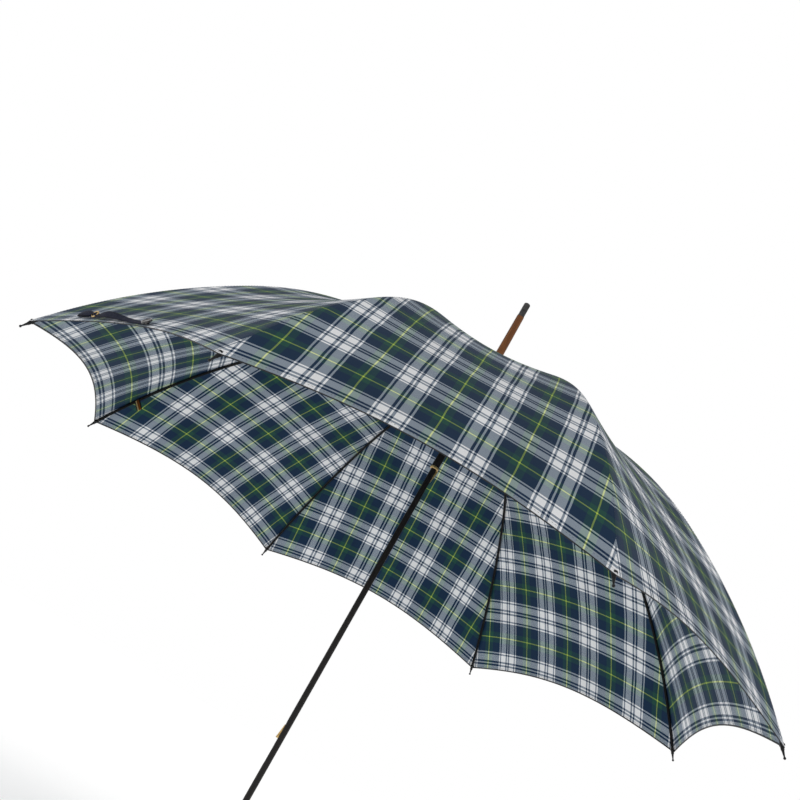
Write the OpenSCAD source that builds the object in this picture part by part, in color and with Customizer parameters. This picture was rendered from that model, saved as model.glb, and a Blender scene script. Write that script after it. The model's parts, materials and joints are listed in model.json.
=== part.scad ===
// Stick umbrella with an eight-rib canopy, a sliding runner and a crook handle.
// Z runs up the shaft, the origin is at the middle of the grip, and the canopy is open.

/* [Shaft] */
// Outside diameter of the steel tube
shaft_d = 8; // [7:0.5:10]
// Wall of the steel tube
shaft_wall = 0.7; // [0.5:0.1:0.9]
// Length of the spike above the rib pivots, metal tip included
spike_len = 139; // [90:1:160]
// Length of the metal tip
ferrule_len = 23; // [16:1:30]

/* [Canopy] */
// Rib length, from pivot to bead
rib_length = 635; // [600:5:700]
// Height of the rib pivots above the grip
hub_z = 682; // [660:2:700]
// Slope of a rib where it leaves the hub, in degrees
root_slope = 2.85; // [1:0.05:6]
// Bend radius of a rib at its shoulder
shoulder_r = 390; // [360:5:450]
// Bend radius of a rib beyond its shoulder
outer_r = 864; // [700:4:1200]
// Thickness of the cloth
cloth_t = 0.8; // [0.6:0.1:1.2]
// How far the hem is cut back between two ribs, as a share of the rib
scallop = 0.05; // [0.02:0.01:0.08]
// How far the cloth sinks between two ribs
cloth_sag = 11; // [4:1:16]

/* [Runner] */
// Height of the runner's lower rim with the canopy open
runner_z = 542; // [535:1:548]
// Height of the stretcher pivots above that rim
pivot_h = 60; // [56:1:64]
// Where the stretchers meet the ribs, measured along the rib
joint_s = 264; // [256:1:272]
// Outside diameter of the runner's sleeve
sleeve_d = 10.8; // [10.8:0.1:11.6]

/* [Catches] */
// Height of the catch that holds the runner when the canopy is closed
hand_catch_z = 143.5; // [140:0.5:147]
// How far a catch stands out of the shaft
catch_out = 2.8; // [2:0.1:3.2]

/* [Handle] */
// Diameter of the wooden crook
grip_d = 21; // [18:1:24]
// Bend radius of the crook
crook_r = 38; // [32:1:46]
// Length of the crook's short leg
crook_leg = 24; // [12:1:34]

/* [Hidden] */

$fn = 64;
gore_span = 45;
half_span = gore_span / 2;
shaft_r = shaft_d / 2;
bore_r = shaft_r - shaft_wall;

// rib line: a straight root, a tighter shoulder, then a flatter outer run
straight_len = 116;
shoulder_len = 225;
notch_r = shaft_r + 3;
wire_r = 0.5;
eye_hole_r = wire_r + 0.05;
eye_r = 1.9;
eye_t = 1;
slot_w = 1.8;
rib_w = 3.2;
rib_h = 2.6;
rib_wall = 0.5;
socket_s = rib_length - 13;

// stretcher: ears each side of a lug under the rib, and an eye on the runner's wire
lug_drop = 3;
lug_t = 1.2;
pin_r = 0.6;
pin_hole_r = pin_r + 0.04;
arm_w = 2.9;
arm_h = 2.2;
arm_wall = 0.55;
crown_wire_r = shaft_r + 5;

// cloth
cloth_gap = 2.6;
seam_gap = 0.6;
hem_share = 0.982;
hem_s = rib_length * hem_share;
cloth_start = 5 / hem_s;
rows = 16;
cols = 12;

// runner
slide_gap = 0.07;
sleeve_r = sleeve_d / 2;
crown_z = runner_z + pivot_h;

// catches
leaf_t = 0.6;
leaf_w = 1.8;
leaf_out = bore_r - 0.45;
leaf_below = 46;
hand_angle = 160;
top_angle = -20;
top_catch_z = runner_z - 0.6;
stop_z = crown_z + 4;

// handle
collar_top = 52;
collar_h = 9;
bend_z = -44;

// spike
ferrule_top = hub_z + spike_len;
ferrule_z = ferrule_top - ferrule_len;
ferrule_r = 4.6;
spike_base_r = 6;
spike_top_r = 5.1;
cap_z = hub_z + cloth_gap + cloth_t + 0.5;
tube_top = cap_z + 4;

// strap, near the hem of the gore between ribs 8 and 1
strap_s = 0.926 * rib_length;
strap_w = 10;
strap_lift = cloth_gap + cloth_t + 0.4;
tab_s = 0.866 * rib_length;

function deg(rad) = rad * 180 / PI;
function shoulder_turn(s) = deg(min(max(s - straight_len, 0), shoulder_len) / shoulder_r);
function outer_turn(s) = deg(max(s - straight_len - shoulder_len, 0) / outer_r);
function slope(s) = root_slope + shoulder_turn(s) + outer_turn(s);
function line_r(s) =
    let (a = root_slope, b = a + shoulder_turn(s), c = slope(s))
    notch_r + min(s, straight_len) * cos(a) + shoulder_r * (sin(b) - sin(a)) + outer_r * (sin(c) - sin(b));
function line_z(s) =
    let (a = root_slope, b = a + shoulder_turn(s), c = slope(s))
    hub_z - min(s, straight_len) * sin(a) - shoulder_r * (cos(a) - cos(b)) - outer_r * (cos(b) - cos(c));
function rib_angle(k) = 180 - (k - 1) * gore_span;
function gore_angle(k) = rib_angle(k) - half_span;

// a point of the cloth: t from crown to hem, w from -1 to 1 across the gore
function cloth_s(t, w) = hem_s * t * (1 - scallop * (1 - w * w) * t * t);
function cloth_point(t, w, lift) =
    let (
        s = cloth_s(t, w),
        dip = cloth_sag * (1 - w * w) * sin(180 * t),
        rim = line_r(s) * cos(half_span),
        turn = w * (half_span - asin(seam_gap / 2 / (line_r(s) + lift * sin(slope(s))))),
        r = rim / cos(turn) - 0.4 * dip + lift * sin(slope(s))
    )
    [r * cos(turn), r * sin(turn), line_z(s) - 0.9 * dip + lift * cos(slope(s))];

// angle at which a stretcher leaves its joint towards the runner
joint_r = line_r(joint_s) - lug_drop * sin(slope(joint_s));
joint_z = line_z(joint_s) - lug_drop * cos(slope(joint_s));
arm_dr = joint_r - crown_wire_r;
arm_dz = joint_z - crown_z;
arm_len = sqrt(arm_dr * arm_dr + arm_dz * arm_dz);
arm_angle = atan2(arm_dz, arm_dr);

// places children at a rib, in the rib's own plane
module at_rib(k) {
    rotate([0, 0, rib_angle(k)]) children();
}

// places children on the rib line, X along the rib and Z away from the canopy's inside
module on_line(s) {
    translate([line_r(s), 0, line_z(s)]) rotate([0, slope(s), 0]) children();
}

// a torus about Z
module ring(r, wire) {
    rotate_extrude($fn = 96) translate([r, 0]) circle(r = wire, $fn = 24);
}

// U-shaped channel in section, open towards -X; inset thins it to sit inside another channel's walls
module channel_section(w, h, wall, inset) {
    difference() {
        translate([inset - h / 2, inset - w / 2]) square([h - 2 * inset, w - 2 * inset]);
        translate([-h / 2 - 1, wall - inset - w / 2]) square([h - wall + inset + 1, w - 2 * (wall - inset)]);
    }
}

// channel along an arc of radius r that starts at s on the rib line and turns from slope a to slope b
module rib_arc(s, r, a, b, inset) {
    lap = inset > 0 ? deg(2 / r) : 0;
    translate([line_r(s) - r * sin(a), 0, line_z(s) - r * cos(a)])
        rotate([90, 0, 0])
            rotate([0, 0, 90 - b])
                rotate_extrude(angle = b - a + lap, $fn = 180)
                    translate([r, 0]) channel_section(rib_w, rib_h, rib_wall, inset);
}

// straight channel along X, open downwards
module straight_channel(x0, x1, w, h, wall, inset = 0) {
    translate([x0, 0, 0]) rotate([0, -90, 0]) mirror([0, 0, 1])
        linear_extrude(height = x1 - x0) channel_section(w, h, wall, inset);
}

module eye_plate(reach) {
    difference() {
        union() {
            rotate([90, 0, 0]) cylinder(r = eye_r, h = eye_t, center = true);
            translate([0, -eye_t / 2, -1]) cube([reach, eye_t, 2]);
        }
        rotate([90, 0, 0]) cylinder(r = eye_hole_r, h = 3, center = true);
    }
}

module rib(k) {
    a = root_slope;
    b = slope(straight_len + shoulder_len);
    c = slope(socket_s);
    inset = 0.03;
    color("#16171a") at_rib(k) {
        difference() {
            union() {
                on_line(0) {
                    eye_plate(12);
                    straight_channel(7, straight_len + 2, rib_w, rib_h, rib_wall, inset);
                }
                rib_arc(straight_len, shoulder_r, a, b, 0);
                rib_arc(straight_len + shoulder_len, outer_r, b, c, inset);
                on_line(joint_s) {
                    translate([-1.7, -lug_t / 2, -lug_drop]) cube([3.4, lug_t, lug_drop + rib_h / 2 - 0.2]);
                    translate([0, 0, -lug_drop]) rotate([90, 0, 0])
                        cylinder(r = 1.7, h = lug_t, center = true);
                }
            }
            on_line(joint_s) translate([0, 0, -lug_drop])
                rotate([90, 0, 0]) cylinder(r = pin_hole_r, h = 4, center = true);
        }
    }
}

module rib_tip(k) {
    color("#1d1d1f") at_rib(k) on_line(rib_length) {
        sphere(r = 1.6, $fn = 40);
        translate([-9, 0, 0]) rotate([0, 90, 0]) cylinder(r1 = 1.7, r2 = 0.8, h = 8);
        translate([-12.9, 0, 0]) rotate([0, 90, 0]) cylinder(r = 2.1, h = 4);
        translate([-19, -1, -1.2]) cube([8, 2, 1.8]);
    }
}

module joint_pin(k) {
    color("#a8a9ab") at_rib(k) on_line(joint_s) translate([0, 0, -lug_drop]) rotate([90, 0, 0]) {
        cylinder(r = pin_r, h = arm_w + 0.6, center = true);
        for (side = [-1, 1])
            translate([0, 0, side * (arm_w / 2 + 0.5)]) cylinder(r = 1.05, h = 0.6, center = true);
    }
}

module stretcher(k) {
    color("#1b1c1f") at_rib(k) translate([crown_wire_r, 0, crown_z]) rotate([0, -arm_angle, 0]) {
        eye_plate(12);
        difference() {
            union() {
                translate([arm_len / 2, 0, 0]) rotate([180, 0, 0])
                    straight_channel(7 - arm_len / 2, arm_len / 2 - 6, arm_w, arm_h, arm_wall);
                for (side = [-1, 1]) translate([0, side * (arm_w - arm_wall) / 2, 0]) {
                    translate([arm_len, 0, 0]) rotate([90, 0, 0])
                        cylinder(r = arm_h / 2, h = arm_wall, center = true);
                    translate([arm_len - 6.5, -arm_wall / 2, -arm_h / 2]) cube([6.5, arm_wall, arm_h]);
                }
            }
            translate([arm_len, 0, 0]) rotate([90, 0, 0]) cylinder(r = pin_hole_r, h = 6, center = true);
        }
    }
}

// one panel of cloth, as a closed shell between an inner and an outer face
module gore(k) {
    n = cols + 1;
    m = (rows + 1) * n;
    ts = [for (i = [0:rows]) cloth_start + (1 - cloth_start) * i / rows];
    ws = [for (j = [0:cols]) -1 + 2 * j / cols];
    outer = [for (t = ts) for (w = ws) cloth_point(t, w, cloth_gap + cloth_t)];
    inner = [for (t = ts) for (w = ws) cloth_point(t, w, cloth_gap)];
    faces = concat(
        [for (i = [0:rows - 1]) for (j = [0:cols - 1]) for (f = [0, 1])
            let (a = i * n + j, b = a + n)
            f == 0 ? [a, a + 1, b + 1] : [a, b + 1, b]],
        [for (i = [0:rows - 1]) for (j = [0:cols - 1]) for (f = [0, 1])
            let (a = m + i * n + j, b = a + n)
            f == 0 ? [a, b + 1, a + 1] : [a, b, b + 1]],
        [for (j = [0:cols - 1]) for (f = [0, 1])
            let (a = j, b = m + j) f == 0 ? [a, b, b + 1] : [a, b + 1, a + 1]],
        [for (j = [0:cols - 1]) for (f = [0, 1])
            let (a = rows * n + j, b = m + a) f == 0 ? [a, b + 1, b] : [a, a + 1, b + 1]],
        [for (i = [0:rows - 1]) for (f = [0, 1])
            let (a = i * n, b = m + a) f == 0 ? [a, b + n, b] : [a, a + n, b + n]],
        [for (i = [0:rows - 1]) for (f = [0, 1])
            let (a = i * n + cols, b = m + a) f == 0 ? [a, b, b + n] : [a, b + n, a + n]]
    );
    color(k % 2 == 0 ? "#1f3550" : "#1c4438")
        rotate([0, 0, gore_angle(k)]) polyhedron(points = concat(outer, inner), faces = faces, convexity = 4);
}

module shaft_tube() {
    color("#1a1718") difference() {
        translate([0, 0, -4]) cylinder(r = shaft_r, h = tube_top + 4);
        translate([0, 0, -5]) cylinder(r = bore_r, h = tube_top + 6);
        rotate([0, 0, hand_angle]) translate([0, -1.3, hand_catch_z - 33]) cube([shaft_r + 1, 2.6, 55]);
        rotate([0, 0, top_angle]) translate([0, -1.3, top_catch_z - 30]) cube([shaft_r + 1, 2.6, 32]);
        translate([0, 0, stop_z]) rotate([90, 0, 0])
            cylinder(r = 0.75, h = 3 * shaft_r, center = true, $fn = 32);
    }
}

module stop_pin() {
    color("#b59a55") translate([0, 0, stop_z]) rotate([90, 0, 0])
        cylinder(r = 0.75, h = 2 * shaft_r + 2, center = true, $fn = 32);
}

module crook() {
    color("#7a3f1c") difference() {
        union() {
            translate([0, 0, bend_z]) cylinder(r = grip_d / 2, h = collar_top - 4 - bend_z);
            translate([crook_r, 0, bend_z]) rotate([90, 0, 0]) rotate([0, 0, 180])
                rotate_extrude(angle = 180, $fn = 96) translate([crook_r, 0]) circle(r = grip_d / 2);
            translate([2 * crook_r, 0, bend_z]) {
                cylinder(r = grip_d / 2, h = crook_leg);
                translate([0, 0, crook_leg]) sphere(r = grip_d / 2);
            }
        }
        translate([0, 0, -4.5]) cylinder(r = shaft_r, h = 80);
        translate([0, 0, collar_top - collar_h]) difference() {
            cylinder(r = grip_d, h = collar_h + 1);
            translate([0, 0, -1]) cylinder(r = grip_d / 2 - 1, h = collar_h + 3);
        }
    }
}

module collar() {
    color("#c09a4a") difference() {
        rotate_extrude() polygon([
            [shaft_r, collar_top - 4], [grip_d / 2 - 1, collar_top - 4],
            [grip_d / 2 - 1, collar_top - collar_h],
            [grip_d / 2 + 0.3, collar_top - collar_h], [grip_d / 2 + 0.3, collar_top - collar_h + 1],
            [grip_d / 2, collar_top - collar_h + 1.4], [grip_d / 2, collar_top - 3],
            [shaft_r + 1.6, collar_top], [shaft_r, collar_top]
        ]);
        translate([0, 0, collar_top - 20]) cylinder(r = shaft_r, h = 30);
    }
}

module spike() {
    color("#8a4a22") rotate_extrude() polygon([
        [0, tube_top - 18], [bore_r, tube_top - 18], [bore_r, tube_top], [spike_base_r, tube_top],
        [spike_base_r + 0.7, tube_top + 1.5], [spike_base_r + 0.7, tube_top + 4],
        [spike_base_r, tube_top + 6],
        [spike_top_r, ferrule_z], [ferrule_r - 1, ferrule_z],
        [ferrule_r - 1, ferrule_z + 12], [0, ferrule_z + 12]
    ]);
}

module ferrule() {
    color("#2b2a29") rotate_extrude() polygon([
        [ferrule_r - 1, ferrule_z], [ferrule_r + 0.3, ferrule_z], [ferrule_r + 0.3, ferrule_z + 1.5],
        [ferrule_r, ferrule_z + 2], [ferrule_r, ferrule_top - 2], [ferrule_r - 0.6, ferrule_top - 0.7],
        [ferrule_r - 1.8, ferrule_top], [0, ferrule_top], [0, ferrule_z + 12], [ferrule_r - 1, ferrule_z + 12]
    ]);
}

module crown_cap() {
    color("#202226") rotate_extrude() polygon([
        [shaft_r, cap_z + 1.2], [11, cap_z + 1.2], [13.2, cap_z], [14, cap_z + 0.5], [11.8, cap_z + 2.4],
        [7, cap_z + 3.9], [shaft_r, cap_z + 4]
    ]);
}

module slotted_ring(inner, outer, z0, z1, slot_from, wire_at, wire_z) {
    difference() {
        translate([0, 0, z0]) cylinder(r = outer, h = z1 - z0);
        translate([0, 0, z0 - 1]) cylinder(r = inner, h = z1 - z0 + 2);
        for (k = [1:8]) at_rib(k)
            translate([slot_from, -slot_w / 2, z0 - 1]) cube([outer, slot_w, z1 - z0 + 2]);
        translate([0, 0, wire_z]) ring(wire_at, wire_r + 0.03);
    }
}

module notch() {
    color("#b08d45") slotted_ring(shaft_r, notch_r + 2.4, hub_z - 3.4, hub_z + 1.6,
        shaft_r + 0.9, notch_r, hub_z);
}

module notch_wire() {
    color("#8d8d8f") translate([0, 0, hub_z]) ring(notch_r, wire_r);
}

// leaf spring up the shaft, rooted at its lower end; steep is 1 where its tooth's steep side faces up
module catch_leaf(z, steep) {
    rotate([90, 0, 0]) {
        linear_extrude(height = leaf_w, center = true) {
            translate([leaf_out - leaf_t, z - leaf_below]) square([leaf_t, leaf_below + 24]);
            polygon([
                [leaf_out - leaf_t, z - steep * 20], [shaft_r + 0.5, z - steep * 18],
                [shaft_r + catch_out, z - steep * 1.2], [shaft_r + catch_out, z], [leaf_out - leaf_t, z]
            ]);
        }
        translate([leaf_out - leaf_t / 2 - 0.4, z - leaf_below])
            cylinder(r = 0.7, h = leaf_w, center = true, $fn = 24);
    }
}

module hand_spring() {
    color("#c8a24c") rotate([0, 0, hand_angle]) catch_leaf(hand_catch_z, -1);
}

module top_spring() {
    color("#c8a24c") rotate([0, 0, top_angle]) catch_leaf(top_catch_z, 1);
}

module runner_sleeve() {
    color("#1f1b1b") difference() {
        translate([0, 0, runner_z + 3.5]) cylinder(r = sleeve_r, h = pivot_h - 6.5);
        translate([0, 0, runner_z - 1]) cylinder(r = shaft_r + slide_gap, h = pivot_h + 4);
        rotate([0, 0, hand_angle]) translate([0, -1.6, runner_z + 10.6]) cube([sleeve_r + 2, 3.2, 24]);
    }
}

module runner_crown() {
    color("#2a2624") slotted_ring(shaft_r + slide_gap, crown_wire_r + 2.4, crown_z - 3, crown_z + 2.6,
        shaft_r + 2.4, crown_wire_r, crown_z);
}

module runner_rim() {
    color("#c09a4a") difference() {
        rotate_extrude() polygon([
            [shaft_r, runner_z], [sleeve_r + 0.3, runner_z], [sleeve_r + 0.8, runner_z + 0.6],
            [sleeve_r + 0.8, runner_z + 3], [sleeve_r + 0.3, runner_z + 3.5], [shaft_r, runner_z + 3.5]
        ]);
        translate([0, 0, runner_z - 1]) cylinder(r = shaft_r + slide_gap, h = 6);
    }
}

module runner_wire() {
    color("#8d8d8f") translate([0, 0, crown_z]) ring(crown_wire_r, wire_r);
}

// places children on the strap's gore: X down the cloth, Y along the hem, Z out of the cloth
module on_strap() {
    tilt = atan2(sin(slope(strap_s)), cos(slope(strap_s)) * cos(half_span));
    rotate([0, 0, gore_angle(8)])
        translate([line_r(strap_s) * cos(half_span), 0, line_z(strap_s)])
            rotate([0, tilt, 0]) translate([0, 0, strap_lift]) children();
}

module strap() {
    color("#151b33") on_strap() {
        translate([-strap_w / 2, -94, 0]) cube([strap_w, 104, 1.4]);
        translate([-strap_w / 2 - 1, -136, 0]) cube([strap_w + 2, 30.5, 2.6]);
        translate([-2.5, -108, 0]) cube([5, 16, 0.8]);
    }
}

module strap_ring() {
    color("#c8a24c") on_strap() translate([0, -99.5, 2]) ring(4.6, 0.9);
}

module strap_button() {
    color("#17181c") on_strap() translate([0, 17, 0]) {
        cylinder(r = 2.4, h = 3);
        translate([0, 0, 2.4]) cylinder(r1 = 5.6, r2 = 6, h = 1);
        translate([0, 0, 3.4]) cylinder(r1 = 6, r2 = 4.4, h = 1.2);
    }
}

module label_tab() {
    color("#5a3416") at_rib(2) on_line(tab_s)
        translate([-4, rib_w / 2 + 0.3, -19]) cube([8, 0.6, 18]);
}

shaft_tube();
crook();
collar();
spike();
ferrule();
crown_cap();
notch();
notch_wire();
stop_pin();
hand_spring();
top_spring();
runner_sleeve();
runner_crown();
runner_rim();
runner_wire();
strap();
strap_ring();
strap_button();
label_tab();
rib(1);  // rib_1
rib(2);  // rib_2
rib(3);  // rib_3
rib(4);  // rib_4
rib(5);  // rib_5
rib(6);  // rib_6
rib(7);  // rib_7
rib(8);  // rib_8
rib_tip(1);  // rib_tip_1
rib_tip(2);  // rib_tip_2
rib_tip(3);  // rib_tip_3
rib_tip(4);  // rib_tip_4
rib_tip(5);  // rib_tip_5
rib_tip(6);  // rib_tip_6
rib_tip(7);  // rib_tip_7
rib_tip(8);  // rib_tip_8
joint_pin(1);  // joint_pin_1
joint_pin(2);  // joint_pin_2
joint_pin(3);  // joint_pin_3
joint_pin(4);  // joint_pin_4
joint_pin(5);  // joint_pin_5
joint_pin(6);  // joint_pin_6
joint_pin(7);  // joint_pin_7
joint_pin(8);  // joint_pin_8
stretcher(1);  // stretcher_1
stretcher(2);  // stretcher_2
stretcher(3);  // stretcher_3
stretcher(4);  // stretcher_4
stretcher(5);  // stretcher_5
stretcher(6);  // stretcher_6
stretcher(7);  // stretcher_7
stretcher(8);  // stretcher_8
gore(1);  // gore_1
gore(2);  // gore_2
gore(3);  // gore_3
gore(4);  // gore_4
gore(5);  // gore_5
gore(6);  // gore_6
gore(7);  // gore_7
gore(8);  // gore_8
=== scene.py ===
"""Stick umbrella with an eight-panel tartan canopy: the visible model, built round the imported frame."""

import json
import logging
import math
from dataclasses import dataclass, field
from enum import Enum
from typing import Iterable, Sequence

import bpy
import numpy as np
from mathutils import Matrix, Vector

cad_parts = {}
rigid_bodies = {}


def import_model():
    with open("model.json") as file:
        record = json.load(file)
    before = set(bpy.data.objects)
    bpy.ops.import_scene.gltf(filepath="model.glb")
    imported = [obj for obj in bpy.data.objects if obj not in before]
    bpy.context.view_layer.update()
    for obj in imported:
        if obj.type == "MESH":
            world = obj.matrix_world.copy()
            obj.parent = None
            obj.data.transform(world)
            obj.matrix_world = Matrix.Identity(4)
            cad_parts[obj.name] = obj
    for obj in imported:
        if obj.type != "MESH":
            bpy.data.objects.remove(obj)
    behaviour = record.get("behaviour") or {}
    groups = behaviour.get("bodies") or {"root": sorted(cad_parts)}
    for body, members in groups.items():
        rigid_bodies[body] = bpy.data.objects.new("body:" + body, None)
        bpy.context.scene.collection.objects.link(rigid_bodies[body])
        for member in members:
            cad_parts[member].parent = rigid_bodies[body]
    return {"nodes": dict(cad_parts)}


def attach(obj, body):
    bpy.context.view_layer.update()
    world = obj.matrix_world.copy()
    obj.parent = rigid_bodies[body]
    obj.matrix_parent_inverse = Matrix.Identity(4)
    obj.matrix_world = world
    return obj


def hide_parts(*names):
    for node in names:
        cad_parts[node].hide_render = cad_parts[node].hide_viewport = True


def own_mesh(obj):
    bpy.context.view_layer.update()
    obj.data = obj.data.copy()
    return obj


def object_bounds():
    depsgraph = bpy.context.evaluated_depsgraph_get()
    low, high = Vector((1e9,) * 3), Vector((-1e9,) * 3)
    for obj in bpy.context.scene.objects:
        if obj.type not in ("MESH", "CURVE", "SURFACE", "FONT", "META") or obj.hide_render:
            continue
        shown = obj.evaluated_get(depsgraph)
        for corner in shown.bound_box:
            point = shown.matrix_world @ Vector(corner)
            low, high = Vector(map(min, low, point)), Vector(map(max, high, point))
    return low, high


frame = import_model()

CAD_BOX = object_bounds()
LOG = logging.getLogger("umbrella")
RIBS = range(1, 9)
MM = 0.001
RIB_LENGTH = 0.635
Socket = bpy.types.NodeSocket
Material = bpy.types.Material
Shape = tuple[np.ndarray, list[tuple[int, ...]]]


class Side(Enum):
    """Which half of a panel: the one sewn to its own rib, or the one sewn to the next."""

    OWN = 1
    NEXT = -1


class Slot(Enum):
    """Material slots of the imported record."""

    CANOPY = "canopy_cloth"
    STRAP = "strap_cloth"
    LABEL = "label_cloth"
    BUTTON = "button"
    BRASS = "brass"
    WOOD = "wood"


# ---------------------------------------------------------------- materials


class Graph:
    """Adds and joins the nodes of one material."""

    def __init__(self, name: str) -> None:
        """Starts a material with a shader and an output."""
        self.material = bpy.data.materials.new(name)
        self.material.use_nodes = True
        self.nodes = self.material.node_tree.nodes
        self.nodes.clear()
        self.shader = self.nodes.new("ShaderNodeBsdfPrincipled")
        output = self.nodes.new("ShaderNodeOutputMaterial")
        self.link(self.shader.outputs["BSDF"], output.inputs["Surface"])

    def link(self, start: Socket, end: Socket) -> None:
        """Joins two sockets."""
        self.material.node_tree.links.new(start, end)

    def feed(self, socket: Socket, value: Socket | float | Sequence[float] | None) -> None:
        """Links a socket, or sets its value.

        Args:
            socket: the input to fill.
            value: another node's output, a plain value, or None to leave it.
        """
        if isinstance(value, bpy.types.NodeSocket):
            self.link(value, socket)
        elif value is not None:
            socket.default_value = value

    def math(self, operation: str, *values: Socket | float) -> Socket:
        """Adds a Math node and gives its result."""
        node = self.nodes.new("ShaderNodeMath")
        node.operation = operation
        for socket, value in zip(node.inputs, values):
            self.feed(socket, value)
        return node.outputs[0]

    def plus(self, first: Socket, second: Socket, share: float) -> Socket:
        """Adds a share of one value to another."""
        return self.math("ADD", first, self.math("MULTIPLY", second, share))

    def grey(self, tone: Socket) -> Socket:
        """Turns a value into a grey colour."""
        node = self.nodes.new("ShaderNodeCombineColor")
        for socket in node.inputs:
            self.link(tone, socket)
        return node.outputs[0]

    def uv(self, name: str) -> tuple[Socket, Socket, Socket]:
        """Gives a named UV map as a vector, and its two parts."""
        source = self.nodes.new("ShaderNodeUVMap")
        source.uv_map = name
        parts = self.nodes.new("ShaderNodeSeparateXYZ")
        self.link(source.outputs["UV"], parts.inputs[0])
        return source.outputs["UV"], parts.outputs["X"], parts.outputs["Y"]

    def place(self) -> Socket:
        """Gives the point's place on the object."""
        return self.nodes.new("ShaderNodeTexCoord").outputs["Object"]

    def scaled(self, vector: Socket, scale: Sequence[float]) -> Socket:
        """Stretches a vector by a factor along each axis."""
        node = self.nodes.new("ShaderNodeMapping")
        self.link(vector, node.inputs["Vector"])
        node.inputs["Scale"].default_value = scale
        return node.outputs["Vector"]

    def noise(self, vector: Socket, scale: float, detail: float = 3.0, rough: float = 0.55) -> Socket:
        """Adds a noise pattern and gives its value."""
        node = self.nodes.new("ShaderNodeTexNoise")
        self.link(vector, node.inputs["Vector"])
        node.inputs["Scale"].default_value = scale
        node.inputs["Detail"].default_value = detail
        node.inputs["Roughness"].default_value = rough
        return node.outputs["Fac"]

    def spread(self, value: Socket, low: float, high: float, to_low: float, to_high: float) -> Socket:
        """Maps a value from one range to another, smoothly and held at both ends."""
        node = self.nodes.new("ShaderNodeMapRange")
        node.interpolation_type = "SMOOTHSTEP"
        for socket, number in zip(node.inputs, (value, low, high, to_low, to_high)):
            self.feed(socket, number)
        return node.outputs[0]

    def ramp(self, value: Socket, stops: Sequence[tuple[float, Sequence[float]]],
             banded: bool = False) -> Socket:
        """Turns a value into a colour.

        Args:
            value: what is looked up, from 0 to 1.
            stops: pairs of a place and a colour, in order.
            banded: True for sharp bands, False for a smooth change.

        Returns:
            The colour.
        """
        node = self.nodes.new("ShaderNodeValToRGB")
        node.color_ramp.interpolation = "CONSTANT" if banded else "LINEAR"
        elements = node.color_ramp.elements
        while len(elements) > 1:
            elements.remove(elements[-1])
        elements[0].position, elements[0].color = stops[0][0], (*stops[0][1], 1)
        for position, colour in stops[1:]:
            elements.new(position).color = (*colour, 1)
        self.link(value, node.inputs["Fac"])
        return node.outputs["Color"]

    def mix(self, factor: Socket | float, first: Socket | Sequence[float], second: Socket | Sequence[float],
            kind: str = "MIX") -> Socket:
        """Mixes two colours."""
        node = self.nodes.new("ShaderNodeMix")
        node.data_type, node.blend_type = "RGBA", kind
        self.feed(node.inputs["Factor"], factor)
        for name, colour in (("A", first), ("B", second)):
            socket = next(s for s in node.inputs if s.name == name and s.type == "RGBA")
            self.feed(socket, colour if isinstance(colour, bpy.types.NodeSocket) else (*colour, 1))
        return next(s for s in node.outputs if s.type == "RGBA")

    def bump(self, height: Socket, depth: float, strength: float = 1.0,
             under: Socket | None = None) -> Socket:
        """Adds relief of a depth in metres, over another relief if one is given."""
        node = self.nodes.new("ShaderNodeBump")
        node.inputs["Strength"].default_value = strength
        node.inputs["Distance"].default_value = depth
        self.link(height, node.inputs["Height"])
        if under is not None:
            self.link(under, node.inputs["Normal"])
        return node.outputs["Normal"]

    def finish(self, colour: Socket | Sequence[float], rough: Socket | float, normal: Socket | None = None,
               **settings: float | Sequence[float]) -> Material:
        """Feeds the shader and gives the material.

        Args:
            colour: base colour.
            rough: roughness.
            normal: relief.
            settings: other plain values of the shader, by name with spaces as underscores.

        Returns:
            The material.
        """
        self.feed(self.shader.inputs["Base Color"],
                  colour if isinstance(colour, bpy.types.NodeSocket) else (*colour, 1))
        self.feed(self.shader.inputs["Roughness"], rough)
        self.feed(self.shader.inputs["Normal"], normal)
        for name, value in settings.items():
            self.shader.inputs[name.replace("_", " ")].default_value = value
        return self.material


def shade(red: int, green: int, blue: int) -> tuple[float, float, float]:
    """Gives a screen colour of 0 to 255 a channel as shares."""
    return red / 255, green / 255, blue / 255


def light(colour: Sequence[float]) -> tuple[float, float, float]:
    """Turns screen shares into linear light."""
    return tuple(c / 12.92 if c <= 0.04045 else ((c + 0.055) / 1.055) ** 2.4 for c in colour)


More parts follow.
